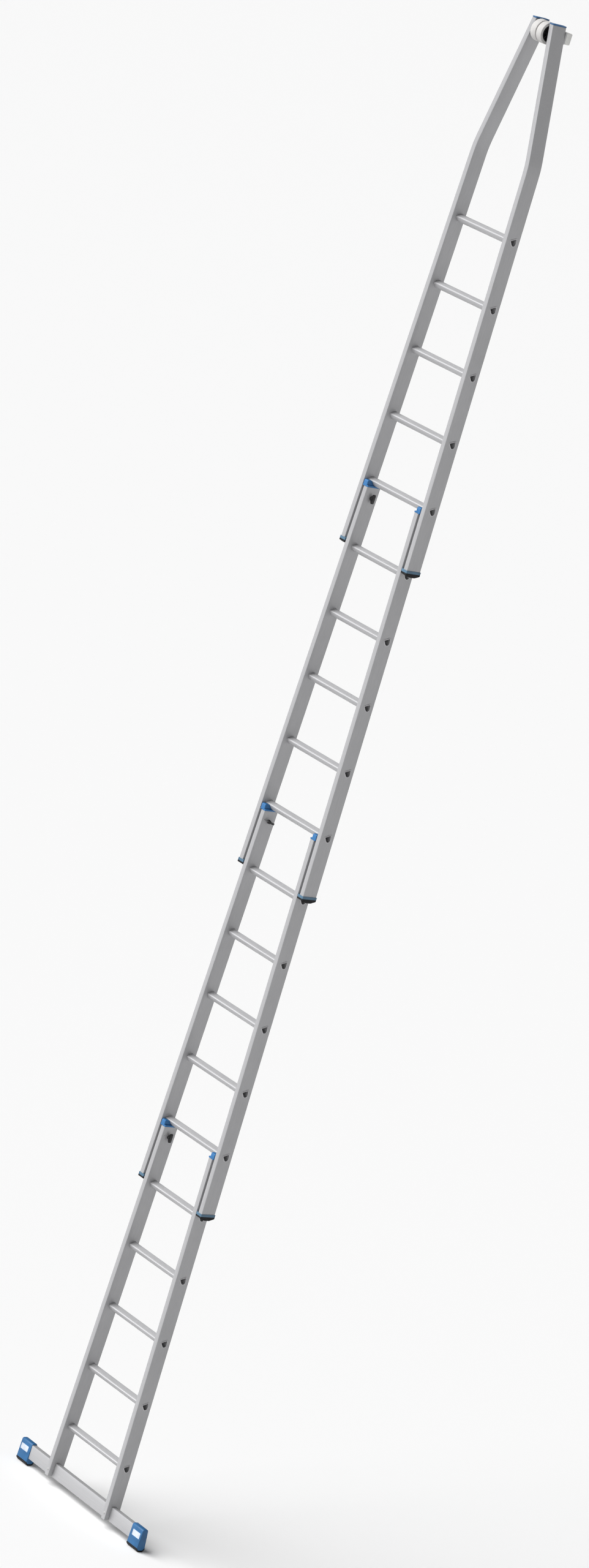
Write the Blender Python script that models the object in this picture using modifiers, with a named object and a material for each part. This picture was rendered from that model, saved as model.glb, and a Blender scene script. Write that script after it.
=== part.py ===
"""Sectional window cleaner's ladder: four tapered aluminium sections, plugged one on top of the other.

It stands upright with +Z along the stiles, +X to the right of a person who climbs it, and the climber at -Y.
The origin is on the floor, in the middle of the ladder's box.
"""

import math

import bmesh
import bpy
from mathutils import Matrix, Vector

# Sections and stiles. A section's stiles lean in, so that it fits between the stiles of the next one.
SECTION_COUNT = 4
RUNGS_PER_SECTION = 5
RUNG_PITCH = 0.280
FIRST_RUNG_HEIGHT = 0.2773
BASE_INNER_HALF = 0.1908
STILE_WIDTH = 0.0236
STILE_DEPTH = 0.0716
STILE_WALL = 0.0018
STILE_CORNER = 0.003
STILE_HEAD_DROP = 0.0348
STILE_TAIL = 0.2703
NEST_GAP = 0.0114
TAPER = (NEST_GAP + STILE_WIDTH) / (RUNGS_PER_SECTION * RUNG_PITCH)
GAP = 0.0003

# Rungs: a tread that is level when the ladder leans at its working angle, over a rounded keel.
TREAD_WIDTH = 0.031
RUNG_HEIGHT = 0.029
RUNG_LEAN = math.radians(21.5)
TREAD_CORNER = 0.004
KEEL_RADIUS = 0.012
RUNG_WALL = 0.0016
RUNG_END_PROUD = 0.0008

# Foot bar, and the shoe and sole on each end of it.
FOOT_BAR_HEIGHT = 0.0638
FOOT_BAR_DEPTH = 0.025
FOOT_BAR_TALL = 0.062
FOOT_BAR_WALL = 0.002
FOOT_BAR_SETBACK = 0.023
FOOT_BAR_HALF = 0.441
STILE_FOOT_RISE = 0.0042
SHOE_LENGTH = 0.073
SHOE_SKIN = 0.0025
SHOE_ROOF = 0.0064
SHOE_END_WALL = 0.0032
SHOE_TOP_RADIUS = 0.009
SHOE_TOE = 0.0025
SHOE_HEEL = 0.0095
SHOE_DROP = 0.0453
ROCKER_RADIUS = 0.012
ROCKER_FLAT = 0.012
ROCKER_CORNER = 0.003
SOLE_THICKNESS = 0.0065
RIVET_RADIUS = 0.004
RIVET_HEAD_RADIUS = 0.006
RIVET_HEAD = 0.0022

# Joints between sections: a saddle on each lower stile, and a foot under each upper one.
SADDLE_CLEARANCE = 0.0005
SADDLE_FLANGE = 0.0062
SADDLE_OVERHANG = 0.001
SADDLE_LUG_INSET = 0.007
SADDLE_FRONT_LUG = 0.0275
SADDLE_REAR_LUG = 0.021
SADDLE_PLUG = 0.018
SADDLE_EDGE = 0.0017
PLUG_CLEARANCE = 0.0009
GUIDE_CLEARANCE = 0.0033
SLIDE_CLEARANCE = 0.0011
CAP_SKIN = 0.0015
FOOT_COLLAR = 0.009
FOOT_DROP = 0.018
FOOT_ROCKER_RADIUS = 0.016
FOOT_ROCKER_FLAT = 0.020
FOOT_CORNER = 0.003

# Wing screw that clamps each joint.
SCREW_DROP = 0.0788
SCREW_SETBACK = 0.038
SCREW_RADIUS = 0.004
SCREW_TIP_PROUD = 0.001
SCREW_HUB_RADIUS = 0.0085
SCREW_HUB = 0.010
WING_SPAN = 0.040
WING_THICKNESS = 0.0085
WING_RISE = 0.0205
WING_BASE = 0.0035
WING_TURNS = (0.0, math.radians(75.0), 0.0)

# Tip: the last section's stiles bend in towards two rollers and a wall pad.
BEND_ABOVE_RUNG = 0.2907
TIP_SLOPE = 0.2053
BEND_RADIUS = 0.4
BEND_STEPS = 4
TIP_ABOVE_RUNG = 0.8447
TIP_CAP = 0.005
TIP_CAP_OVERHANG = 0.0008
TIP_PLUG = 0.014
ROLLER_ABOVE_RUNG = 0.8047
ROLLER_SETBACK = 0.024
ROLLER_RADIUS = 0.045
ROLLER_WIDTH = 0.0315
ROLLER_SPACING = 0.005
HUB_RADIUS = 0.034
HUB_RIM = 0.004
HUB_BOSS_RADIUS = 0.012
HUB_WEB = 0.008
TYRE_EDGE = 0.0035
AXLE_RADIUS = 0.006
AXLE_END_ROOM = 0.004
PAD_TALL = 0.047
PAD_PLATE = 0.006
PAD_DEPTH = 0.0294
PAD_CORNER = 0.005

ROUND_STEPS = 24
REACH = 0.02

ALL_SECTIONS = range(SECTION_COUNT)
LAST = SECTION_COUNT - 1
TOP_RUNG = FIRST_RUNG_HEIGHT + (SECTION_COUNT * RUNGS_PER_SECTION - 1) * RUNG_PITCH
BEND_HEIGHT = TOP_RUNG + BEND_ABOVE_RUNG
TIP_HEIGHT = TOP_RUNG + TIP_ABOVE_RUNG
ROLLER_HEIGHT = TOP_RUNG + ROLLER_ABOVE_RUNG
PAD_FRONT = STILE_DEPTH + GAP + PAD_PLATE + GAP
FRONT_Y = -(PAD_FRONT + PAD_DEPTH + ROLLER_SETBACK - ROLLER_RADIUS) / 2
MIDDLE_Y = FRONT_Y + STILE_DEPTH / 2
FOOT_BAR_Y = FRONT_Y + FOOT_BAR_SETBACK + FOOT_BAR_DEPTH / 2
SIDES = {"left": -1, "right": 1}


def rung_height(section, step):
    """Height of the middle of a tread."""
    return FIRST_RUNG_HEIGHT + (section * RUNGS_PER_SECTION + step) * RUNG_PITCH


def inner_half(section, height):
    """Half the clear width between a section's stiles, on their straight run."""
    return BASE_INNER_HALF - TAPER * (height - rung_height(section, 0))


def outer_half(section, height):
    return inner_half(section, height) + STILE_WIDTH


def tip_inner_half(height):
    """Half the clear width between the stiles above the bend."""
    return inner_half(LAST, BEND_HEIGHT) - TIP_SLOPE * (height - BEND_HEIGHT)


def tip_width():
    """Level width of a stile above the bend."""
    return STILE_WIDTH * math.hypot(1, TIP_SLOPE)


def head_height(section):
    """Top of a lower section's stiles, under the next section's first rung."""
    return rung_height(section + 1, 0) - STILE_HEAD_DROP


def tail_height(section):
    """Bottom of a section's stiles."""
    if section == 0:
        return FOOT_BAR_HEIGHT - FOOT_BAR_TALL / 2 + STILE_FOOT_RISE
    return rung_height(section, 0) - STILE_TAIL


def clear_scene():
    for old in list(bpy.data.objects):
        bpy.data.objects.remove(old)


def new_collection(name):
    collection = bpy.data.collections.new(name)
    bpy.context.scene.collection.children.link(collection)
    return collection


def new_material(name, color, roughness, metallic):
    material = bpy.data.materials.new(name)
    material.use_nodes = True
    shader = material.node_tree.nodes["Principled BSDF"]
    shader.inputs["Base Color"].default_value = (*color, 1.0)
    shader.inputs["Roughness"].default_value = roughness
    shader.inputs["Metallic"].default_value = metallic
    material.diffuse_color = (*color, 1.0)
    return material


clear_scene()
PARTS = new_collection("sectional_ladder")
CUTTERS = new_collection("cutters")
STILE_METAL = new_material("stile_aluminium", (0.62, 0.62, 0.64), 0.38, 1.0)
RUNG_METAL = new_material("rung_aluminium", (0.68, 0.68, 0.70), 0.35, 1.0)
BAR_METAL = new_material("foot_bar_aluminium", (0.60, 0.60, 0.61), 0.40, 1.0)
STEEL = new_material("zinc_steel", (0.55, 0.55, 0.56), 0.30, 1.0)
BLUE_PLASTIC = new_material("blue_plastic", (0.03, 0.16, 0.42), 0.42, 0.0)
BLACK_PLASTIC = new_material("black_plastic", (0.02, 0.02, 0.02), 0.45, 0.0)
BLACK_RUBBER = new_material("black_rubber", (0.03, 0.03, 0.03), 0.80, 0.0)
PALE_RUBBER = new_material("pale_rubber", (0.66, 0.66, 0.64), 0.65, 0.0)


def hull_outline(circles, steps):
    """Points of the tight band round some circles, each (x, y, radius), given anticlockwise."""

    def tangent(first, second):
        along = math.atan2(second[1] - first[1], second[0] - first[0])
        apart = math.hypot(second[0] - first[0], second[1] - first[1])
        return along - math.acos((first[2] - second[2]) / apart)

    points = []
    for index, (x, y, radius) in enumerate(circles):
        start = tangent(circles[index - 1], circles[index])
        sweep = (tangent(circles[index], circles[(index + 1) % len(circles)]) - start) % math.tau
        for step in range(steps + 1):
            angle = start + sweep * step / steps
            points.append((x + radius * math.cos(angle), y + radius * math.sin(angle)))
    return points


def rounded_rectangle(middle, width, height, radius, steps):
    """Outline of a rectangle round the point middle."""
    x = width / 2 - radius
    y = height / 2 - radius
    corners = [(-x, -y), (x, -y), (x, y), (-x, y)]
    return hull_outline([(middle[0] + a, middle[1] + b, radius) for a, b in corners], steps)


def new_object(name, mesh_maker, material=None):
    """Object made by mesh_maker(bm). Without a material it is a helper, which the render leaves out."""
    bm = bmesh.new()
    mesh_maker(bm)
    bmesh.ops.recalc_face_normals(bm, faces=bm.faces)
    mesh = bpy.data.meshes.new(name)
    bm.to_mesh(mesh)
    bm.free()
    thing = bpy.data.objects.new(name, mesh)
    if material is None:
        CUTTERS.objects.link(thing)
        thing.hide_render = True
        thing.display_type = "WIRE"
        return thing
    PARTS.objects.link(thing)
    mesh.materials.append(material)
    mesh.shade_smooth()
    mesh.set_sharp_from_angle(angle=math.radians(35))
    return thing


def lofted(name, rings, material=None, filled=True):
    """Loft through rings of points that match one to one, with or without its end caps."""

    def make(bm):
        loops = []
        for ring in rings:
            corners = [bm.verts.new(point) for point in ring]
            pairs = zip(corners, corners[1:] + corners[:1])
            loops.append([bm.edges.new(pair) for pair in pairs])
        for lower, upper in zip(loops, loops[1:]):
            bmesh.ops.bridge_loops(bm, edges=lower + upper)
        if filled:
            bmesh.ops.holes_fill(bm, edges=loops[0] + loops[-1], sides=0)

    return new_object(name, make, material)


def prism_along_x(name, outline, low, high, material=None, filled=True):
    """Outline in (y, z), carried from x = low to x = high."""
    rings = [[Vector((x, y, z)) for y, z in outline] for x in (low, high)]
    return lofted(name, rings, material, filled)


def cylinder(name, radius, length, matrix, material=None):
    """Cylinder along its own Z, centred on its origin, placed by matrix."""

    def make(bm):
        bmesh.ops.create_cone(
            bm, cap_ends=True, segments=ROUND_STEPS, radius1=radius, radius2=radius, depth=length
        )

    thing = new_object(name, make, material)
    thing.matrix_world = matrix
    return thing


def turned(name, profile, closed, material):
    """Profile of (radius, height) points, turned about Z. It runs down its outer side."""

    def make(bm):
        points = [bm.verts.new((radius, 0, height)) for radius, height in profile]
        for first, second in zip(points, points[1:]):
            bm.edges.new((first, second))
        if closed:
            bm.edges.new((points[-1], points[0]))

    thing = new_object(name, make, material)
    screw = thing.modifiers.new("turn", "SCREW")
    screw.axis = "Z"
    screw.steps = ROUND_STEPS
    screw.render_steps = ROUND_STEPS
    screw.use_merge_vertices = True
    screw.merge_threshold = 0.00005
    screw.use_smooth_shade = True
    return thing


def add_wall(thing, thickness):
    """Gives an open skin a wall on its inner side."""
    wall = thing.modifiers.new("wall", "SOLIDIFY")
    wall.thickness = thickness
    wall.offset = -1
    wall.use_even_offset = True


def round_rims(thing, width, segments=2):
    """Rounds the edges round a prism's ends, and leaves the facets of its outline alone."""
    rim = thing.modifiers.new("rim", "BEVEL")
    rim.limit_method = "ANGLE"
    rim.angle_limit = math.radians(60)
    rim.width = width
    rim.segments = segments


def combine(thing, operation, others):
    for other in others:
        step = thing.modifiers.new(operation.lower(), "BOOLEAN")
        step.operation = operation
        step.solver = "EXACT"
        step.object = other


def cut(thing, *cutters):
    combine(thing, "DIFFERENCE", cutters)


def join(thing, *others):
    combine(thing, "UNION", others)


def tread_outline(height, grow=0.0):
    """A rung's outline in (y, z): tread on top, keel below, leaning back by the working angle."""
    half = TREAD_WIDTH / 2 - TREAD_CORNER
    lean = Matrix.Rotation(RUNG_LEAN, 2)
    keel = lean @ Vector((0, KEEL_RADIUS - RUNG_HEIGHT))
    front = lean @ Vector((-half, -TREAD_CORNER))
    back = lean @ Vector((half, -TREAD_CORNER))
    circles = [(keel, KEEL_RADIUS), (back, TREAD_CORNER), (front, TREAD_CORNER)]
    placed = [(MIDDLE_Y + at.x, height + at.y, radius + grow) for at, radius in circles]
    return hull_outline(placed, 4)


def foot_bar_outline(grow=0.0, lower=0.0):
    """The foot bar's outline in (y, z). lower stretches it down, for the slot that it is pushed up into."""
    radius = STILE_CORNER
    y = FOOT_BAR_DEPTH / 2 - radius
    z = FOOT_BAR_TALL / 2 - radius
    corners = [(-y, -z - lower), (y, -z - lower), (y, z), (-y, z)]
    return hull_outline(
        [(FOOT_BAR_Y + a, FOOT_BAR_HEIGHT + b, radius + grow) for a, b in corners], 2
    )


def stile_stations(section):
    """(half clear width, height, level width) down a section's stile, where its run changes."""
    bottom = tail_height(section)
    if section < LAST:
        top = head_height(section)
        return [(inner_half(section, z), z, STILE_WIDTH) for z in (bottom, top)]
    turn = math.atan(TIP_SLOPE) - math.atan(TAPER)
    reach = BEND_RADIUS * math.tan(turn / 2)
    start = Vector((inner_half(section, BEND_HEIGHT - reach), BEND_HEIGHT - reach))
    corner = Vector((inner_half(section, BEND_HEIGHT), BEND_HEIGHT))
    end = Vector((tip_inner_half(BEND_HEIGHT + reach), BEND_HEIGHT + reach))
    stations = [(inner_half(section, bottom), bottom, STILE_WIDTH)]
    for step in range(BEND_STEPS + 1):
        share = step / BEND_STEPS
        at = start.lerp(corner, share).lerp(corner.lerp(end, share), share)
        width = STILE_WIDTH + share * (tip_width() - STILE_WIDTH)
        stations.append((at.x, at.y, width))
    stations.append((tip_inner_half(TIP_HEIGHT), TIP_HEIGHT, tip_width()))
    return stations


def stile_ring(side, station, inset=0.0):
    """Outline of a stile, or of a plug that fits inside it, on the level at a station."""
    half, height, width = station
    middle = (side * (half + width / 2), MIDDLE_Y)
    radius = max(STILE_CORNER - inset, 0.0005)
    flat = rounded_rectangle(middle, width - 2 * inset, STILE_DEPTH - 2 * inset, radius, 2)
    return [Vector((x, y, height)) for x, y in flat]


def make_stile(section, side_name, cutters):
    side = SIDES[side_name]
    rings = [stile_ring(side, station) for station in stile_stations(section)]
    stile = lofted(f"stile_{section + 1}_{side_name}", rings, STILE_METAL, filled=False)
    add_wall(stile, STILE_WALL)
    cut(stile, *cutters)
    return stile


def make_rung(section, step):
    height = rung_height(section, step)
    half = outer_half(section, height) + RUNG_END_PROUD
    number = section * RUNGS_PER_SECTION + step + 1
    rung = prism_along_x(f"rung_{number:02d}", tread_outline(height), -half, half, RUNG_METAL, False)
    add_wall(rung, RUNG_WALL)
    return rung


def make_rung_cutter(section, step):
    height = rung_height(section, step)
    half = outer_half(section, height) + REACH
    return prism_along_x(f"rung_hole_{section}_{step}", tread_outline(height, GAP), -half, half)


def rivet_place(side):
    x = side * (inner_half(0, FOOT_BAR_HEIGHT) + STILE_WIDTH / 2)
    return Matrix.Translation((x, MIDDLE_Y, FOOT_BAR_HEIGHT)) @ Matrix.Rotation(-math.pi / 2, 4, "X")


def make_foot_bar(cutters):
    bar = prism_along_x("foot_bar", foot_bar_outline(), -FOOT_BAR_HALF, FOOT_BAR_HALF, BAR_METAL, False)
    add_wall(bar, FOOT_BAR_WALL)
    cut(bar, *cutters)
    return bar


def make_rivet(side_name):
    """A solid rivet through a stile and the foot bar, with a domed head at each end."""
    half = STILE_DEPTH / 2 + GAP
    dome = [(0, half + RIVET_HEAD), (0.6 * RIVET_HEAD_RADIUS, half + 0.8 * RIVET_HEAD)]
    rim = [(RIVET_HEAD_RADIUS, half), (RIVET_RADIUS, half)]
    upper = dome + rim
    lower = [(radius, -height) for radius, height in reversed(upper)]
    rivet = turned(f"foot_bar_rivet_{side_name}", upper + lower, False, STEEL)
    rivet.matrix_world = rivet_place(SIDES[side_name])
    return rivet


def shoe_circles():
    """Circles round the shoe's side view: rocker below, rounded roof above, as (y, z, radius)."""
    toe = FOOT_BAR_DEPTH / 2 + SHOE_SKIN + SHOE_TOE - ROCKER_CORNER
    heel = FOOT_BAR_DEPTH / 2 + SHOE_SKIN + SHOE_HEEL - ROCKER_CORNER
    roof = FOOT_BAR_TALL / 2 + SHOE_ROOF - SHOE_TOP_RADIUS
    shoulder = FOOT_BAR_DEPTH / 2 + SHOE_SKIN - SHOE_TOP_RADIUS
    keel = (heel - toe) / 2
    return [
        (-toe, -SHOE_DROP, ROCKER_CORNER),
        (keel - ROCKER_FLAT / 2, -SHOE_DROP, ROCKER_RADIUS),
        (keel + ROCKER_FLAT / 2, -SHOE_DROP, ROCKER_RADIUS),
        (heel, -SHOE_DROP, ROCKER_CORNER),
        (shoulder, roof, SHOE_TOP_RADIUS),
        (-shoulder, roof, SHOE_TOP_RADIUS),
    ]


def placed_on_bar(circles, grow=0.0):
    return [(FOOT_BAR_Y + y, FOOT_BAR_HEIGHT + z, radius + grow) for y, z, radius in circles]


def shoe_ends(side):
    outer = FOOT_BAR_HALF + GAP + SHOE_END_WALL
    return sorted((side * outer, side * (outer - SHOE_LENGTH)))


def make_shoe(side_name):
    """A plastic shoe that sleeves over the end of the foot bar."""
    side = SIDES[side_name]
    low, high = shoe_ends(side)
    shoe = prism_along_x(
        f"shoe_{side_name}", hull_outline(placed_on_bar(shoe_circles()), 3), low, high, BLUE_PLASTIC
    )
    round_rims(shoe, 0.0025)
    mouth = side * (FOOT_BAR_HALF - SHOE_LENGTH - REACH)
    ends = sorted((side * (FOOT_BAR_HALF + GAP), mouth))
    cut(shoe, prism_along_x(f"shoe_pocket_{side_name}", foot_bar_outline(GAP), *ends))
    return shoe


def make_sole(side_name):
    """A rubber band under the shoe's rocker."""
    side = SIDES[side_name]
    low, high = shoe_ends(side)
    circles = shoe_circles()[:4]
    lower = [(y, z - SOLE_THICKNESS, radius) for y, z, radius in circles]
    band = lower + [circles[3], circles[0]]
    sole = prism_along_x(
        f"sole_{side_name}", hull_outline(placed_on_bar(band), 3), low, high, BLACK_RUBBER
    )
    shoe_shape = hull_outline(placed_on_bar(shoe_circles(), GAP), 3)
    cut(sole, prism_along_x(f"sole_seat_{side_name}", shoe_shape, low - REACH, high + REACH))
    return sole


def pad_inner(section):
    """Half the clear width between the feet of a section, where they pass the section below."""
    return outer_half(section - 1, tail_height(section) + FOOT_COLLAR) + GUIDE_CLEARANCE


def make_saddle(section, side_name):
    """A plastic cap on a lower stile. The next section's first rung sits in its fork."""
    side = SIDES[side_name]
    name = f"saddle_{section + 1}_{side_name}"
    head = head_height(section)
    base = head + GAP
    inner = inner_half(section, head)
    outside = pad_inner(section + 1) - SLIDE_CLEARANCE
    front = FRONT_Y
    back = FRONT_Y + STILE_DEPTH
    top_front = head + SADDLE_FRONT_LUG
    top_back = head + SADDLE_REAR_LUG
    edge = 0.0015
    fork = [
        (front + edge, base + edge, edge),
        (back - edge, base + edge, edge),
        (back - 3 * edge, top_back - 3 * edge, 3 * edge),
        (front + 4 * edge, top_front - 4 * edge, 4 * edge),
    ]
    ends = sorted((side * (inner + SADDLE_LUG_INSET), side * outside))
    saddle = prism_along_x(name, hull_outline(fork, 2), *ends, BLUE_PLASTIC)
    round_rims(saddle, SADDLE_EDGE, 1)
    flange_middle = (MIDDLE_Y, base + SADDLE_FLANGE / 2)
    flange = rounded_rectangle(flange_middle, STILE_DEPTH, SADDLE_FLANGE, edge / 2, 1)
    flange_ends = sorted((side * (inner - SADDLE_OVERHANG), side * (outside - edge / 2)))
    plug_heights = (base + SADDLE_FLANGE / 2, head - SADDLE_PLUG)
    inset = STILE_WALL + PLUG_CLEARANCE
    plug = [stile_ring(side, (inner_half(section, z), z, STILE_WIDTH), inset) for z in plug_heights]
    join(saddle, prism_along_x(f"{name}_flange", flange, *flange_ends), lofted(f"{name}_plug", plug))
    rung = rung_height(section + 1, 0)
    reach = (-outside - REACH, outside + REACH)
    cut(saddle, prism_along_x(f"{name}_seat", tread_outline(rung, SADDLE_CLEARANCE), *reach))
    return saddle


def make_foot(section, side_name):
    """A collar and a rocker sole under an upper stile, thick on its inner side to guide the joint."""
    side = SIDES[side_name]
    name = f"foot_{section + 1}_{side_name}"
    tail = tail_height(section)
    top = tail + FOOT_COLLAR
    low = tail - FOOT_DROP
    front = FRONT_Y - CAP_SKIN
    back = FRONT_Y + STILE_DEPTH + CAP_SKIN
    shoulder = low + 0.6 * FOOT_DROP
    rocker = low + FOOT_ROCKER_RADIUS
    side_view = [
        (front + FOOT_CORNER, shoulder, FOOT_CORNER),
        (MIDDLE_Y - FOOT_ROCKER_FLAT / 2, rocker, FOOT_ROCKER_RADIUS),
        (MIDDLE_Y + FOOT_ROCKER_FLAT / 2, rocker, FOOT_ROCKER_RADIUS),
        (back - FOOT_CORNER, shoulder, FOOT_CORNER),
        (back - CAP_SKIN, top - CAP_SKIN, CAP_SKIN),
        (front + CAP_SKIN, top - CAP_SKIN, CAP_SKIN),
    ]
    inner = pad_inner(section)
    outer = outer_half(section, tail) + CAP_SKIN
    ends = sorted((side * inner, side * outer))
    foot = prism_along_x(name, hull_outline(side_view, 3), *ends, BLACK_RUBBER)
    heights = (tail - GAP, top + REACH)
    pocket = [stile_ring(side, (inner_half(section, z), z, STILE_WIDTH), -GAP) for z in heights]
    cut(foot, lofted(f"{name}_pocket", pocket))
    return foot


def screw_place(section):
    """The wing screw's own Z goes along the axis, from the left stile's inner face towards +X."""
    height = rung_height(section + 1, 0) - SCREW_DROP
    at = Vector((-inner_half(section, height), FRONT_Y + SCREW_SETBACK, height))
    turn = Matrix.Rotation(WING_TURNS[section], 4, "X") @ Matrix.Rotation(math.pi / 2, 4, "Y")
    return Matrix.Translation(at) @ turn


def make_wing_screw(section):
    """A wing screw, slackened, through both walls of a lower section's left stile."""
    name = f"wing_screw_{section + 1}"
    hub_top = GAP + SCREW_HUB + SLIDE_CLEARANCE
    hub_base = GAP + SLIDE_CLEARANCE
    tip = -STILE_WIDTH - SCREW_TIP_PROUD
    profile = [
        (0, hub_top),
        (0.8 * SCREW_HUB_RADIUS, hub_top),
        (SCREW_HUB_RADIUS, hub_base),
        (SCREW_RADIUS, hub_base),
        (SCREW_RADIUS, tip),
        (0, tip),
    ]
    screw = turned(name, profile, False, BLACK_PLASTIC)
    screw.matrix_world = screw_place(section)
    ear = WING_SPAN / 2 - 0.006
    ears = [(-0.006, WING_BASE + 0.002, 0.002), (0.006, WING_BASE + 0.002, 0.002)]
    ears += [(ear, WING_RISE - 0.006, 0.006), (-ear, WING_RISE - 0.006, 0.006)]
    outline = hull_outline(ears, 3)
    rings = [[Vector((x, y, z)) for x, z in outline] for y in (-WING_THICKNESS / 2, WING_THICKNESS / 2)]
    wing = lofted(f"{name}_wing", rings)
    wing.matrix_world = screw_place(section)
    join(screw, wing)
    return screw


def make_screw_cutter(section):
    place = screw_place(section) @ Matrix.Translation((0, 0, -STILE_WIDTH / 2))
    return cylinder(f"wing_screw_hole_{section + 1}", SCREW_RADIUS + GAP, STILE_WIDTH + REACH, place)


def make_tip_cap(side_name):
    """A plastic cap, with a plug, on the top of the last section's stile."""
    side = SIDES[side_name]
    name = f"tip_cap_{side_name}"
    low = TIP_HEIGHT + GAP + TIP_SLOPE * STILE_WALL
    half = tip_inner_half(TIP_HEIGHT)
    rings = [stile_ring(side, (half, z, tip_width()), -TIP_CAP_OVERHANG) for z in (low, low + TIP_CAP)]
    cap = lofted(name, rings, BLUE_PLASTIC)
    round_rims(cap, 0.0012)
    inset = STILE_WALL + PLUG_CLEARANCE
    heights = (low + TIP_CAP / 2, TIP_HEIGHT - TIP_PLUG)
    plug = [stile_ring(side, (tip_inner_half(z), z, tip_width()), inset) for z in heights]
    join(cap, lofted(f"{name}_plug", plug))
    return cap


def axle_place(x=0.0):
    at = Vector((x, FRONT_Y + ROLLER_SETBACK, ROLLER_HEIGHT))
    return Matrix.Translation(at) @ Matrix.Rotation(math.pi / 2, 4, "Y")


def axle_half():
    return tip_inner_half(ROLLER_HEIGHT) + tip_width() - STILE_WALL - AXLE_END_ROOM


def make_axle():
    return cylinder("roller_axle", AXLE_RADIUS, 2 * axle_half(), axle_place(), STEEL)


def make_hub(side_name):
    """A hub with a bore, a boss, a web set back on both faces, and a rim."""
    half = ROLLER_WIDTH / 2
    bore = AXLE_RADIUS + GAP
    rim = HUB_RADIUS - HUB_RIM
    profile = [
        (HUB_RADIUS, half),
        (HUB_RADIUS, -half),
        (rim, -half),
        (rim, -HUB_WEB / 2),
        (HUB_BOSS_RADIUS, -HUB_WEB / 2),
        (HUB_BOSS_RADIUS, -half),
        (bore, -half),
        (bore, half),
        (HUB_BOSS_RADIUS, half),
        (HUB_BOSS_RADIUS, HUB_WEB / 2),
        (rim, HUB_WEB / 2),
        (rim, half),
    ]
    hub = turned(f"roller_hub_{side_name}", profile, True, BLACK_PLASTIC)
    hub.matrix_world = axle_place(SIDES[side_name] * (ROLLER_SPACING + ROLLER_WIDTH) / 2)
    return hub


def make_tyre(side_name):
    half = ROLLER_WIDTH / 2
    inner = HUB_RADIUS + GAP
    shoulder = ROLLER_RADIUS - TYRE_EDGE
    soft = TYRE_EDGE * (1 - math.sqrt(0.5))
    profile = [
        (shoulder, half),
        (ROLLER_RADIUS - soft, half - soft),
        (ROLLER_RADIUS, half - TYRE_EDGE),
        (ROLLER_RADIUS, TYRE_EDGE - half),
        (ROLLER_RADIUS - soft, soft - half),
        (shoulder, -half),
        (inner, -half),
        (inner, half),
    ]
    tyre = turned(f"roller_tyre_{side_name}", profile, True, PALE_RUBBER)
    tyre.matrix_world = axle_place(SIDES[side_name] * (ROLLER_SPACING + ROLLER_WIDTH) / 2)
    return tyre


def make_wall_pad():
    """A rubber pad on a plate, across the backs of both tip stiles and flush with their outer faces."""
    half = tip_inner_half(ROLLER_HEIGHT) + tip_width()
    plate_front = FRONT_Y + STILE_DEPTH + GAP
    plate_middle = (plate_front + PAD_PLATE / 2, ROLLER_HEIGHT)
    plate_outline = rounded_rectangle(plate_middle, PAD_PLATE, PAD_TALL, 0.001, 1)
    plate = prism_along_x("wall_pad_plate", plate_outline, -half, half, STILE_METAL)
    pad_front = FRONT_Y + PAD_FRONT
    pad_middle = (pad_front + PAD_DEPTH / 2, ROLLER_HEIGHT)
    pad_outline = rounded_rectangle(pad_middle, PAD_DEPTH, PAD_TALL, PAD_CORNER, 3)
    pad = prism_along_x("wall_pad", pad_outline, -half, half, PALE_RUBBER)
    round_rims(pad, 0.003)
    return [plate, pad]


def carry(name, at, things, parent=None):
    """Parents things to an empty on their joint, and leaves them where they are."""
    carrier = bpy.data.objects.new(name, None)
    PARTS.objects.link(carrier)
    carrier.location = at
    bpy.context.view_layer.update()
    for thing in things:
        thing.parent = carrier
        thing.matrix_parent_inverse = Matrix.Translation(at).inverted()
    if parent is not None:
        carrier.parent = parent
        carrier.matrix_parent_inverse = Matrix.Translation(parent.matrix_world.translation).inverted()
    return carrier


def make_section(section):
    """One section's stiles and rungs, with the caps and feet on its ends."""
    rung_cutters = [make_rung_cutter(section, step) for step in range(RUNGS_PER_SECTION)]
    cutters = {side_name: list(rung_cutters) for side_name in SIDES}
    pieces = [make_rung(section, step) for step in range(RUNGS_PER_SECTION)]
    if section == 0:
        slot_half = outer_half(0, 0) + REACH
        slot = prism_along_x("foot_bar_slot", foot_bar_outline(GAP, FOOT_BAR_TALL), -slot_half, slot_half)
        drills = {}
        for side_name, side in SIDES.items():
            length = STILE_DEPTH + 2 * REACH
            name = f"rivet_hole_{side_name}"
            drills[side_name] = cylinder(name, RIVET_RADIUS + GAP, length, rivet_place(side))
            cutters[side_name] += [slot, drills[side_name]]
        pieces.append(make_foot_bar(drills.values()))
    if section < LAST:
        cutters["left"].append(make_screw_cutter(section))
    else:
        axle_hole = cylinder("axle_hole", AXLE_RADIUS + GAP, 2 * (axle_half() + GAP), axle_place())
        for side_name in SIDES:
            cutters[side_name].append(axle_hole)
    for side_name in SIDES:
        pieces.append(make_stile(section, side_name, cutters[side_name]))
        if section == 0:
            pieces += [make_shoe(side_name), make_sole(side_name), make_rivet(side_name)]
        else:
            pieces.append(make_foot(section, side_name))
        if section < LAST:
            pieces.append(make_saddle(section, side_name))
        else:
            pieces.append(make_tip_cap(side_name))
    return pieces


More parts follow.
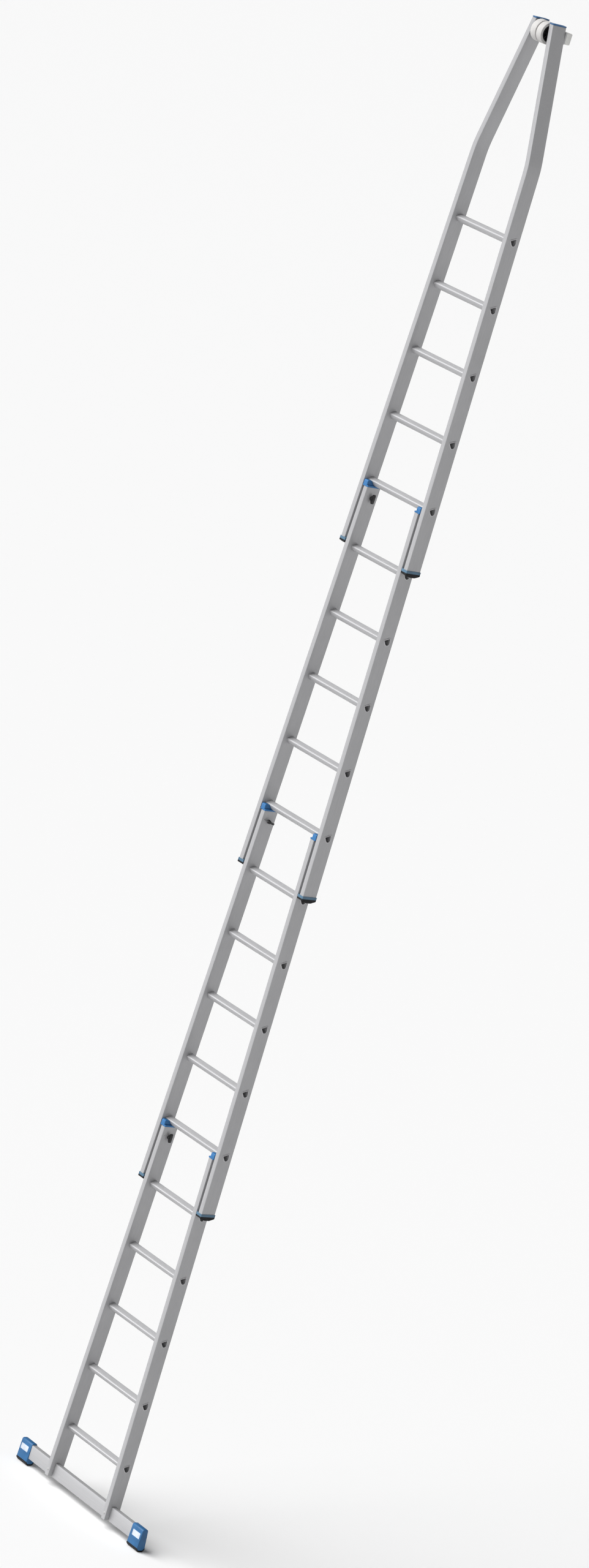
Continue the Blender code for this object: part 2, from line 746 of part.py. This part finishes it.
def make_ladder():
    parent = None
    for section in ALL_SECTIONS:
        pieces = make_section(section)
        if section == LAST:
            pieces += [make_axle(), *make_wall_pad()]
        at = Vector((0, MIDDLE_Y, rung_height(section, 0)))
        carrier = carry(f"section_{section + 1}_carrier", at, pieces, parent)
        bpy.context.view_layer.update()
        if section < LAST:
            screw = make_wing_screw(section)
            screw_at = screw.matrix_world.translation
            carry(f"wing_screw_{section + 1}_carrier", screw_at, [screw], carrier)
        parent = carrier
    for side_name in SIDES:
        roller = [make_hub(side_name), make_tyre(side_name)]
        carry(f"roller_{side_name}_carrier", roller[0].matrix_world.translation, roller, parent)


make_ladder()
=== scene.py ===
"""Looks for the sectional ladder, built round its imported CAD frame."""

import math

import bmesh
import bpy
from mathutils import Matrix, Vector


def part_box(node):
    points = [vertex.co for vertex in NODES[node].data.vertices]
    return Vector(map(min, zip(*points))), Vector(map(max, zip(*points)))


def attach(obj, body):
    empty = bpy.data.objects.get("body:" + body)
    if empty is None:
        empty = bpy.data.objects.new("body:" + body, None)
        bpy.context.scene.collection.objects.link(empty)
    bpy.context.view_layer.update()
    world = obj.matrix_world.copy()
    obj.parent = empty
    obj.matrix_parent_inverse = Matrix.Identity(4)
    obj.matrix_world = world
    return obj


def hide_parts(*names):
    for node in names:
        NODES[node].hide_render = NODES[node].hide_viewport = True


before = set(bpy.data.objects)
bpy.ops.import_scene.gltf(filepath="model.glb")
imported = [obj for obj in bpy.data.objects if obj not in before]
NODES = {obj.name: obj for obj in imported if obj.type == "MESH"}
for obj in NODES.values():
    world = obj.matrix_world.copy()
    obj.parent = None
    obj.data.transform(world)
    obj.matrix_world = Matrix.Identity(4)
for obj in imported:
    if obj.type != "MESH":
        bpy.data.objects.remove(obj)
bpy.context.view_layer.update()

# Sizes that the CAD part has too, in metres.
SECTION_COUNT = 4
RUNGS_PER_SECTION = 5
STILE_WIDTH = 0.0236
TAPER = 0.025
TREAD_WIDTH = 0.031
RUNG_HEIGHT = 0.029
RUNG_LEAN = math.radians(21.5)
TREAD_CORNER = 0.004
KEEL_RADIUS = 0.012
RUNG_WALL = 0.0016
RUNG_END_PROUD = 0.0008
FOOT_COLLAR = 0.009
HUB_RADIUS = 0.034
HUB_RIM = 0.004
HUB_BOSS_RADIUS = 0.012
HUB_WEB = 0.008
ROLLER_WIDTH = 0.0315

# Details that only this script has.
LIP_REACH = 0.0030
LIP_PROUD = 0.0010
COLLAR_LENGTH = 0.0035
COLLAR_RISE = 0.0007
RIB_COUNT = 7
RIB_PITCH = 0.0031
RIB_WIDTH = 0.0015
RIB_HEIGHT = 0.0005
RIVET_RADIUS = 0.0032
RIVET_HEIGHT = 0.0016
RIVET_SETBACK = 0.014
RIVET_RISE = 0.005
SPOKE_COUNT = 8
SPOKE_WIDTH = 0.0026
LABEL_LONG = 0.050
LABEL_TALL = 0.026
LABEL_TOP_DROP = 0.021
LABEL_OUTER_GAP = 0.008
LABEL_THICKNESS = 0.0003
LABEL_BORDER = 0.0015
FILM_THICKNESS = 0.0002
PIECE_LIFT = 0.0001
COLLAR_SEAM_DROP = 0.002
WELD_DISTANCE = 0.00001
SMOOTH_ANGLE = math.radians(32)
RUBBER_DUST = 0.25

SIDES = {"left": -1, "right": 1}


# Outlines

def hull_outline(circles, steps):
    """Points of the tight band round some circles, each (x, y, radius), given anticlockwise."""

    def tangent(first, second):
        along = math.atan2(second[1] - first[1], second[0] - first[0])
        apart = math.hypot(second[0] - first[0], second[1] - first[1])
        return along - math.acos((first[2] - second[2]) / apart)

    points = []
    for index, (x, y, radius) in enumerate(circles):
        start = tangent(circles[index - 1], circles[index])
        sweep = (tangent(circles[index], circles[(index + 1) % len(circles)]) - start) % math.tau
        for step in range(steps + 1):
            angle = start + sweep * step / steps
            points.append((x + radius * math.cos(angle), y + radius * math.sin(angle)))
    return points


def rounded_rectangle(middle, width, height, radius, steps):
    x = width / 2 - radius
    y = height / 2 - radius
    corners = [(-x, -y), (x, -y), (x, y), (-x, y)]
    return hull_outline([(middle[0] + a, middle[1] + b, radius) for a, b in corners], steps)


STILE_LOW, STILE_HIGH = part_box("stile_1_left")
FRONT_Y = STILE_LOW.y
MIDDLE_Y = (STILE_LOW.y + STILE_HIGH.y) / 2


def tread_outline(height, grow=0.0, steps=6):
    """A rung's outline in (y, z), at the height of the middle of its tread."""
    half = TREAD_WIDTH / 2 - TREAD_CORNER
    lean = Matrix.Rotation(RUNG_LEAN, 2)
    keel = lean @ Vector((0, KEEL_RADIUS - RUNG_HEIGHT))
    front = lean @ Vector((-half, -TREAD_CORNER))
    back = lean @ Vector((half, -TREAD_CORNER))
    circles = [(keel, KEEL_RADIUS), (back, TREAD_CORNER), (front, TREAD_CORNER)]
    placed = [(MIDDLE_Y + at.x, height + at.y, radius + grow) for at, radius in circles]
    return hull_outline(placed, steps)


KEEL_DEPTH = min(z for _, z in tread_outline(0.0))


def rung_station(number):
    """(height of the tread's middle, half the distance between the stiles' outer faces there)."""
    low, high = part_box(f"rung_{number:02d}")
    return low.z - KEEL_DEPTH, high.x - RUNG_END_PROUD


# Mesh pieces

def new_piece(name, mesh_maker, material, body, smooth=35):
    bm = bmesh.new()
    mesh_maker(bm)
    bmesh.ops.recalc_face_normals(bm, faces=bm.faces)
    mesh = bpy.data.meshes.new(name)
    bm.to_mesh(mesh)
    bm.free()
    mesh.materials.append(material)
    mesh.shade_smooth()
    mesh.set_sharp_from_angle(angle=math.radians(smooth))
    piece = bpy.data.objects.new(name, mesh)
    bpy.context.scene.collection.objects.link(piece)
    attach(piece, body)
    return piece


def add_rings(bm, rings, capped=True):
    """Skin through rings of points that match one to one, with or without its end caps."""
    rows = [[bm.verts.new(point) for point in ring] for ring in rings]
    for lower, upper in zip(rows, rows[1:]):
        for a, b, c, d in zip(lower, lower[1:] + lower[:1], upper[1:] + upper[:1], upper):
            bm.faces.new((a, b, c, d))
    if capped:
        bm.faces.new(rows[0])
        bm.faces.new(rows[-1])


# Materials

class Surface:
    """A Principled material whose patterns are laid out in the ladder's own metres."""

    def __init__(self, name, roughness, metallic=0.0, specular=0.5):
        self.material = bpy.data.materials.new(name)
        self.material.use_nodes = True
        self.nodes = self.material.node_tree.nodes
        self.links = self.material.node_tree.links
        self.shader = self.nodes["Principled BSDF"]
        self.shader.inputs["Roughness"].default_value = roughness
        self.shader.inputs["Metallic"].default_value = metallic
        self.shader.inputs["Specular IOR Level"].default_value = specular
        self.place = self.nodes.new("ShaderNodeTexCoord").outputs["Object"]
        self.bump = None

    def noise(self, scale, detail=3.0, roughness=0.55):
        """Noise with its own number of waves per metre along X, Y and Z."""
        mapping = self.nodes.new("ShaderNodeMapping")
        mapping.inputs["Scale"].default_value = scale
        texture = self.nodes.new("ShaderNodeTexNoise")
        texture.inputs["Scale"].default_value = 1.0
        texture.inputs["Detail"].default_value = detail
        texture.inputs["Roughness"].default_value = roughness
        self.links.new(self.place, mapping.inputs["Vector"])
        self.links.new(mapping.outputs["Vector"], texture.inputs["Vector"])
        return texture.outputs["Fac"]

    def spread(self, value, low, high, to_low=0.0, to_high=1.0):
        """Value from low to high, carried to to_low to to_high and held there."""
        spread = self.nodes.new("ShaderNodeMapRange")
        spread.inputs["From Min"].default_value = low
        spread.inputs["From Max"].default_value = high
        spread.inputs["To Min"].default_value = to_low
        spread.inputs["To Max"].default_value = to_high
        self.links.new(value, spread.inputs["Value"])
        return spread.outputs["Result"]

    def blend(self, factor, first, second):
        """Colour that goes from first to second. Each is a colour or a socket."""
        mix = self.nodes.new("ShaderNodeMix")
        mix.data_type = "RGBA"
        self.links.new(factor, mix.inputs["Factor"])
        for socket, value in ((mix.inputs["A"], first), (mix.inputs["B"], second)):
            if isinstance(value, tuple):
                socket.default_value = (*value, 1.0)
            else:
                self.links.new(value, socket)
        return mix.outputs["Result"]

    def paint(self, color):
        self.links.new(color, self.shader.inputs["Base Color"])

    def gloss(self, value):
        self.links.new(value, self.shader.inputs["Roughness"])

    def dent(self, height, distance, strength=1.0):
        """Relief of that many metres. Each call adds to the last."""
        bump = self.nodes.new("ShaderNodeBump")
        bump.inputs["Strength"].default_value = strength
        bump.inputs["Distance"].default_value = distance
        self.links.new(height, bump.inputs["Height"])
        if self.bump is not None:
            self.links.new(self.bump, bump.inputs["Normal"])
        self.bump = bump.outputs["Normal"]
        self.links.new(self.bump, self.shader.inputs["Normal"])


def extruded(name, tone, along, roughness):
    """Mill-finish extrusion: fine die lines along one axis, cloudy tone, and short rubbed marks."""
    surface = Surface(name, roughness, metallic=0.35)
    fine = [900.0, 900.0, 900.0]
    fine[along] = 3.0
    medium = [160.0, 160.0, 160.0]
    medium[along] = 1.2
    rub = [420.0, 420.0, 420.0]
    rub[along] = 26.0
    light = tuple(min(1.0, 1.06 * value) for value in tone)
    dark = tuple(0.92 * value for value in tone)
    lines = surface.noise(tuple(fine), 2.0)
    bands = surface.noise(tuple(medium), 2.0)
    clouds = surface.noise((5.0, 5.0, 3.0), 3.0)
    marks = surface.noise(tuple(rub), 4.0, 0.6)
    color = surface.blend(surface.spread(lines, 0.3, 0.7), dark, light)
    color = surface.blend(surface.spread(bands, 0.35, 0.75, 0.0, 0.45), color, tone)
    color = surface.blend(surface.spread(clouds, 0.45, 0.8, 0.0, 0.22), color, dark)
    color = surface.blend(surface.spread(marks, 0.66, 0.74, 0.0, 0.35), color, light)
    surface.paint(color)
    surface.gloss(surface.spread(clouds, 0.3, 0.7, roughness - 0.05, roughness + 0.08))
    surface.dent(lines, 0.00003, 0.35)
    return surface.material


def moulded(name, tone, roughness, scuff, grain=1500.0, relief=0.00006, scuff_tone=(0.5, 0.5, 0.5)):
    """Moulded plastic: fine spark-eroded grain, slight tone shifts, and scuffs where it is handled."""
    surface = Surface(name, roughness)
    light = tuple(min(1.0, 1.18 * value + 0.004) for value in tone)
    dark = tuple(0.82 * value for value in tone)
    clouds = surface.noise((30.0, 30.0, 30.0), 4.0)
    specks = surface.noise((grain, grain, grain), 1.0)
    scratches = surface.noise((60.0, 700.0, 320.0), 4.0, 0.65)
    color = surface.blend(surface.spread(clouds, 0.3, 0.7), dark, light)
    color = surface.blend(surface.spread(scratches, 0.64, 0.76, 0.0, scuff), color, scuff_tone)
    surface.paint(color)
    surface.gloss(surface.spread(clouds, 0.3, 0.7, roughness - 0.06, roughness + 0.08))
    surface.dent(specks, relief, 0.6)
    return surface.material


def worn_rubber(name, tone, roughness, along, dust):
    """Rubber with a fine matt skin, and dust and wear lines that run round the roller or along the sole."""
    surface = Surface(name, roughness, specular=0.35)
    stretch = [90.0, 90.0, 90.0]
    stretch[along] = 700.0
    lines = surface.noise(tuple(stretch), 3.0)
    clouds = surface.noise((45.0, 45.0, 45.0), 4.0)
    skin = surface.noise((2200.0, 2200.0, 2200.0), 1.0)
    dark = tuple(0.94 * value for value in tone)
    light = tuple(min(1.0, 1.05 * value + 0.002) for value in tone)
    color = surface.blend(surface.spread(lines, 0.35, 0.65), dark, light)
    color = surface.blend(surface.spread(clouds, 0.55, 0.8, 0.0, RUBBER_DUST), color, dust)
    surface.paint(color)
    surface.dent(skin, 0.00005, 0.5)
    surface.dent(lines, 0.00003, 0.3)
    return surface.material


STILE_METAL = extruded("stile_extrusion", (0.40, 0.40, 0.41), 2, 0.46)
RUNG_METAL = extruded("rung_extrusion", (0.47, 0.47, 0.48), 0, 0.48)
BAR_METAL = extruded("bar_extrusion", (0.42, 0.42, 0.43), 0, 0.48)
STEEL = extruded("zinc_plate", (0.40, 0.40, 0.40), 1, 0.42)
BLUE = moulded("blue_moulding", (0.014, 0.125, 0.32), 0.45, scuff=0.12, scuff_tone=(0.14, 0.32, 0.56))
SHOE_BLUE = moulded("shoe_moulding", (0.010, 0.098, 0.245), 0.48, scuff=0.14, scuff_tone=(0.11, 0.27, 0.48))
NAVY = moulded("navy_moulding", (0.035, 0.12, 0.27), 0.45, scuff=0.12, scuff_tone=(0.20, 0.35, 0.55))
COLLAR_BLUE = moulded("collar_moulding", (0.06, 0.135, 0.21), 0.50, scuff=0.15, scuff_tone=(0.3, 0.4, 0.5))
BLACK = moulded("black_moulding", (0.007, 0.007, 0.008), 0.45, scuff=0.12, scuff_tone=(0.07, 0.07, 0.07))
SOLE_RUBBER = worn_rubber("sole_rubber", (0.008, 0.008, 0.009), 0.78, 0, dust=(0.06, 0.06, 0.06))
TYRE_RUBBER = worn_rubber("tyre_rubber", (0.52, 0.51, 0.50), 0.68, 0, dust=(0.50, 0.49, 0.47))
PAD_RUBBER = worn_rubber("pad_rubber", (0.70, 0.70, 0.68), 0.70, 2, dust=(0.64, 0.63, 0.61))
LABEL_FILM = moulded("label_film", (0.52, 0.56, 0.62), 0.45, grain=900.0, relief=0.00001, scuff=0.06)
LABEL_EDGE = moulded("label_edge", (0.35, 0.48, 0.66), 0.35, grain=900.0, relief=0.00001, scuff=0.06)

FINISHES = {
    "stile": STILE_METAL,
    "rung": RUNG_METAL,
    "foot_bar": BAR_METAL,
    "foot_bar_rivet": STEEL,
    "shoe": SHOE_BLUE,
    "sole": SOLE_RUBBER,
    "saddle": BLUE,
    "foot": SOLE_RUBBER,
    "wing_screw": BLACK,
    "tip_cap": NAVY,
    "roller_axle": STEEL,
    "roller_hub": BLACK,
    "roller_tyre": TYRE_RUBBER,
    "wall_pad": PAD_RUBBER,
    "wall_pad_plate": STILE_METAL,
}


def dress_cad_nodes():
    """Gives each CAD node its finish, and smooth shading across its shallow edges."""
    for name, node in NODES.items():
        family = max((key for key in FINISHES if name.startswith(key)), key=len)
        node.data.materials.clear()
        node.data.materials.append(FINISHES[family])
        for attribute in ("custom_normal", "sharp_edge", "sharp_face"):
            if attribute in node.data.attributes:
                node.data.attributes.remove(node.data.attributes[attribute])
        weld = node.modifiers.new("weld", "WELD")
        weld.merge_threshold = WELD_DISTANCE
        split = node.modifiers.new("split", "EDGE_SPLIT")
        split.split_angle = SMOOTH_ANGLE
        split.use_edge_sharp = False


# Rungs

def outer_face(station, z):
    """Half the distance between the stiles' outer faces at height z, near a rung."""
    height, outer = station
    return outer - TAPER * (z - height)


def make_rung_trim(section):
    """Flared lips on the rungs' ends, swaged collars against the inner faces, and ribs on the treads."""
    numbers = range(section * RUNGS_PER_SECTION + 1, (section + 1) * RUNGS_PER_SECTION + 1)
    stations = [rung_station(number) for number in numbers]
    body = f"section_{section + 1}"

    def lips(bm):
        for station in stations:
            height, outer = station
            end = outer + RUNG_END_PROUD
            rings = [
                (LIP_REACH, None, 0.00005),
                (LIP_REACH, None, 0.0004),
                (LIP_REACH - 0.0008, end, 0.0001),
                (0.0008, end, LIP_PROUD),
                (-RUNG_WALL + 0.0004, end, LIP_PROUD - 0.0002),
                (-RUNG_WALL, end, -0.0004),
                (-RUNG_WALL, end, -0.0020),
            ]
            for side in SIDES.values():
                skin = []
                for grow, base, out in rings:
                    ring = []
                    for y, z in tread_outline(height, grow):
                        x = (outer_face(station, z) if base is None else base) + out
                        ring.append(Vector((side * x, y, z)))
                    skin.append(ring)
                add_rings(bm, skin, capped=False)

    def collars(bm):
        for station in stations:
            height, _ = station
            for side in SIDES.values():
                skin = []
                for share, rise in ((0.0, 0.6), (0.25, 1.0), (0.6, 0.85), (1.0, 0.05)):
                    ring = []
                    for y, z in tread_outline(height, PIECE_LIFT + COLLAR_RISE * rise):
                        x = outer_face(station, z) - STILE_WIDTH - PIECE_LIFT - COLLAR_LENGTH * share
                        ring.append(Vector((side * x, y, z)))
                    skin.append(ring)
                add_rings(bm, skin, capped=False)

    def ribs(bm):
        lean = Matrix.Rotation(RUNG_LEAN, 2)
        for height, outer in stations:
            half = outer - STILE_WIDTH - COLLAR_LENGTH - 0.001
            for index in range(RIB_COUNT):
                u = (index - (RIB_COUNT - 1) / 2) * RIB_PITCH
                profile = [
                    (u - RIB_WIDTH / 2, -0.0002),
                    (u + RIB_WIDTH / 2, -0.0002),
                    (u + RIB_WIDTH / 4, RIB_HEIGHT),
                    (u - RIB_WIDTH / 4, RIB_HEIGHT),
                ]
                turned = [lean @ Vector(point) for point in profile]
                rings = [
                    [Vector((x, MIDDLE_Y + at.x, height + at.y)) for at in turned] for x in (-half, half)
                ]
                add_rings(bm, rings)

    new_piece(f"rung_lips_{section + 1}", lips, RUNG_METAL, body)
    new_piece(f"rung_collars_{section + 1}", collars, RUNG_METAL, body)
    new_piece(f"rung_ribs_{section + 1}", ribs, RUNG_METAL, body, smooth=20)


# Feet of the upper sections

def make_foot_halves(section, side_name):
    """Blue collar and black sole, which meet at the stile's end. They stand for the one CAD foot."""
    node = f"foot_{section + 1}_{side_name}"
    body = f"section_{section + 1}"
    _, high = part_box(node)
    seam = high.z - FOOT_COLLAR - COLLAR_SEAM_DROP

    def half(upper):
        def make(bm):
            bm.from_mesh(NODES[node].data)
            bmesh.ops.remove_doubles(bm, verts=bm.verts, dist=WELD_DISTANCE)
            cut = bmesh.ops.bisect_plane(
                bm,
                geom=bm.verts[:] + bm.edges[:] + bm.faces[:],
                plane_co=(0, 0, seam),
                plane_no=(0, 0, 1),
                clear_inner=upper,
                clear_outer=not upper,
            )
            edges = [item for item in cut["geom_cut"] if isinstance(item, bmesh.types.BMEdge)]
            bmesh.ops.holes_fill(bm, edges=edges, sides=0)

        return make

    place = f"{section + 1}_{side_name}"
    new_piece(f"foot_collar_{place}", half(True), COLLAR_BLUE, body)
    sole = new_piece(f"foot_sole_{place}", half(False), SOLE_RUBBER, body)
    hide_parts(node)


# Small fixings

def add_dome(bm, radius, height, matrix, rings=4, around=20):
    """Domed head on a flat underside, along the matrix's Z."""
    rows = []
    for step in range(rings):
        angle = math.pi / 2 * step / rings
        out, up = radius * math.cos(angle), height * math.sin(angle)
        rows.append(
            [
                matrix @ Vector((out * math.cos(turn), out * math.sin(turn), up))
                for turn in (math.tau * index / around for index in range(around))
            ]
        )
    add_rings(bm, rows)


def make_rivet(section):
    """The small rivet on the inner face in front of each wing screw."""
    screw_low, screw_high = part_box(f"wing_screw_{section + 1}")
    height = (screw_low.z + screw_high.z) / 2 + RIVET_RISE
    station = rung_station((section + 1) * RUNGS_PER_SECTION)
    x = -(outer_face(station, height) - STILE_WIDTH) + PIECE_LIFT
    place = Matrix.Translation((x, FRONT_Y + RIVET_SETBACK, height)) @ Matrix.Rotation(math.pi / 2, 4, "Y")

    def make(bm):
        add_dome(bm, RIVET_RADIUS, RIVET_HEIGHT, place)

    new_piece(f"stile_rivet_{section + 1}", make, STEEL, f"section_{section + 1}")


# Rollers

def make_spokes(side_name):
    """Radial ribs that stiffen the hub's web on both faces."""
    low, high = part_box(f"roller_hub_{side_name}")
    centre = (low + high) / 2

    def make(bm):
        for face in (-1, 1):
            for index in range(SPOKE_COUNT):
                turn = Matrix.Rotation(math.tau * index / SPOKE_COUNT, 4, "X")
                inner, outer = HUB_BOSS_RADIUS - 0.0003, HUB_RADIUS - HUB_RIM + 0.0003
                rings = []
                for radius in (inner, outer):
                    lift = ROLLER_WIDTH / 2 - (0.001 if radius == inner else 0.003)
                    ring = []
                    for a, b in ((-1, 0), (1, 0), (0.8, 1), (-0.8, 1)):
                        x = face * (HUB_WEB / 2 - 0.0002 + b * (lift - HUB_WEB / 2))
                        ring.append(centre + turn @ Vector((x, a * SPOKE_WIDTH / 2, radius)))
                    rings.append(ring)
                add_rings(bm, rings)

    new_piece(f"roller_spokes_{side_name}", make, BLACK, f"roller_{side_name}", smooth=20)


# Labels on the shoes

def make_label(side_name):
    """A blank white film with a thin tinted edge, on the front of the shoe."""
    side = SIDES[side_name]
    low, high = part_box(f"shoe_{side_name}")
    vertices = [vertex.co for vertex in NODES[f"shoe_{side_name}"].data.vertices]
    top_z = high.z - LABEL_TOP_DROP
    # The front is one flat facet, between its lowest and its highest row of points.
    lower = min((v for v in vertices if v.z < low.z + 0.03), key=lambda v: v.y)
    upper = min((v for v in vertices if v.z > high.z - 0.02), key=lambda v: v.y)
    slope = (upper.y - lower.y) / (upper.z - lower.z)
    outer = max(abs(low.x), abs(high.x)) - LABEL_OUTER_GAP
    middle_x = side * (outer - LABEL_LONG / 2)
    middle_z = top_z - LABEL_TALL / 2

    def at(x, z, out):
        return Vector((middle_x + x, lower.y + slope * (middle_z + z - lower.z) - out, middle_z + z))

    def sheet(long, tall, radius, out, thickness):
        def make(bm):
            outline = rounded_rectangle((0, 0), long, tall, radius, 4)
            add_rings(bm, [[at(x, z, rise) for x, z in outline] for rise in (out, out + thickness)])

        return make

    body = "section_1"
    border = sheet(LABEL_LONG, LABEL_TALL, 0.0025, 0.00005, LABEL_THICKNESS)
    long, tall = LABEL_LONG - 2 * LABEL_BORDER, LABEL_TALL - 2 * LABEL_BORDER
    film = sheet(long, tall, 0.0018, LABEL_THICKNESS, FILM_THICKNESS)
    new_piece(f"label_edge_{side_name}", border, LABEL_EDGE, body)
    new_piece(f"label_film_{side_name}", film, LABEL_FILM, body)


# Studio

CAMERA_PLACE = Vector((17.561, -15.8693, 8.338))
CAMERA_AZIMUTH = math.radians(48.03)
CAMERA_ELEVATION = math.radians(12.234)
CAMERA_ROLL = math.radians(17.62)
CAMERA_LENS = 137.21
SENSOR_LONG_SIDE = 36.0
FLOOR_HALF = 300.0
WALL_TOP = 0.14
CEILING_START = 0.36
WALL_STRENGTH = 0.95
CEILING_STRENGTH = 0.10
KEY_DIRECTION = (-0.45, -0.85, 0.85)
KEY_STRENGTH = 4.15
KEY_SPREAD = 55
FLOOR_TONE = 0.93


def make_camera():
    data = bpy.data.cameras.new("camera")
    data.sensor_width = SENSOR_LONG_SIDE
    data.lens = CAMERA_LENS
    data.clip_start = 0.1
    data.clip_end = 1500.0
    camera = bpy.data.objects.new("camera", data)
    back = Vector(
        (
            math.sin(CAMERA_AZIMUTH) * math.cos(CAMERA_ELEVATION),
            -math.cos(CAMERA_AZIMUTH) * math.cos(CAMERA_ELEVATION),
            math.sin(CAMERA_ELEVATION),
        )
    )
    level = (-back).to_track_quat("-Z", "Y").to_matrix().to_4x4()
    roll = Matrix.Rotation(CAMERA_ROLL, 4, "Z")
    camera.matrix_world = Matrix.Translation(CAMERA_PLACE) @ level @ roll
    bpy.context.scene.collection.objects.link(camera)
    bpy.context.scene.camera = camera


def make_floor():
    mesh = bpy.data.meshes.new("floor")
    bm = bmesh.new()
    corners = [(-1, -1), (1, -1), (1, 1), (-1, 1)]
    bm.faces.new([bm.verts.new((x * FLOOR_HALF, y * FLOOR_HALF, 0.0)) for x, y in corners])
    bm.to_mesh(mesh)
    bm.free()
    floor = bpy.data.objects.new("floor", mesh)
    surface = Surface("studio_floor", 0.9, specular=0.1)
    surface.shader.inputs["Base Color"].default_value = (FLOOR_TONE, FLOOR_TONE, FLOOR_TONE, 1.0)
    mesh.materials.append(surface.material)
    bpy.context.scene.collection.objects.link(floor)


def make_sun(name, direction, strength, angle):
    data = bpy.data.lights.new(name, "SUN")
    data.energy = strength
    data.angle = math.radians(angle)
    sun = bpy.data.objects.new(name, data)
    sun.rotation_mode = "QUATERNION"
    sun.rotation_quaternion = Vector(direction).to_track_quat("Z", "Y")
    bpy.context.scene.collection.objects.link(sun)


def make_studio():
    world = bpy.data.worlds.new("studio")
    bpy.context.scene.world = world
    world.use_nodes = True
    nodes, links = world.node_tree.nodes, world.node_tree.links
    background = nodes["Background"]
    background.inputs["Color"].default_value = (1.0, 1.0, 1.0, 1.0)
    # White walls up to a low height, and a dim ceiling over them.
    direction = nodes.new("ShaderNodeSeparateXYZ")
    fade = nodes.new("ShaderNodeMapRange")
    fade.interpolation_type = "SMOOTHSTEP"
    fade.inputs["From Min"].default_value = WALL_TOP
    fade.inputs["From Max"].default_value = CEILING_START
    fade.inputs["To Min"].default_value = WALL_STRENGTH
    fade.inputs["To Max"].default_value = CEILING_STRENGTH
    links.new(nodes.new("ShaderNodeTexCoord").outputs["Generated"], direction.inputs["Vector"])
    links.new(direction.outputs["Z"], fade.inputs["Value"])
    links.new(fade.outputs["Result"], background.inputs["Strength"])
    make_sun("key", KEY_DIRECTION, KEY_STRENGTH, KEY_SPREAD)
    bpy.context.scene.view_settings.view_transform = "Standard"


dress_cad_nodes()
for section_index in range(SECTION_COUNT):
    make_rung_trim(section_index)
    for side_key in SIDES:
        if section_index > 0:
            make_foot_halves(section_index, side_key)
    if section_index < SECTION_COUNT - 1:
        make_rivet(section_index)
for side_key in SIDES:
    make_spokes(side_key)
    make_label(side_key)
make_camera()
make_floor()
make_studio()
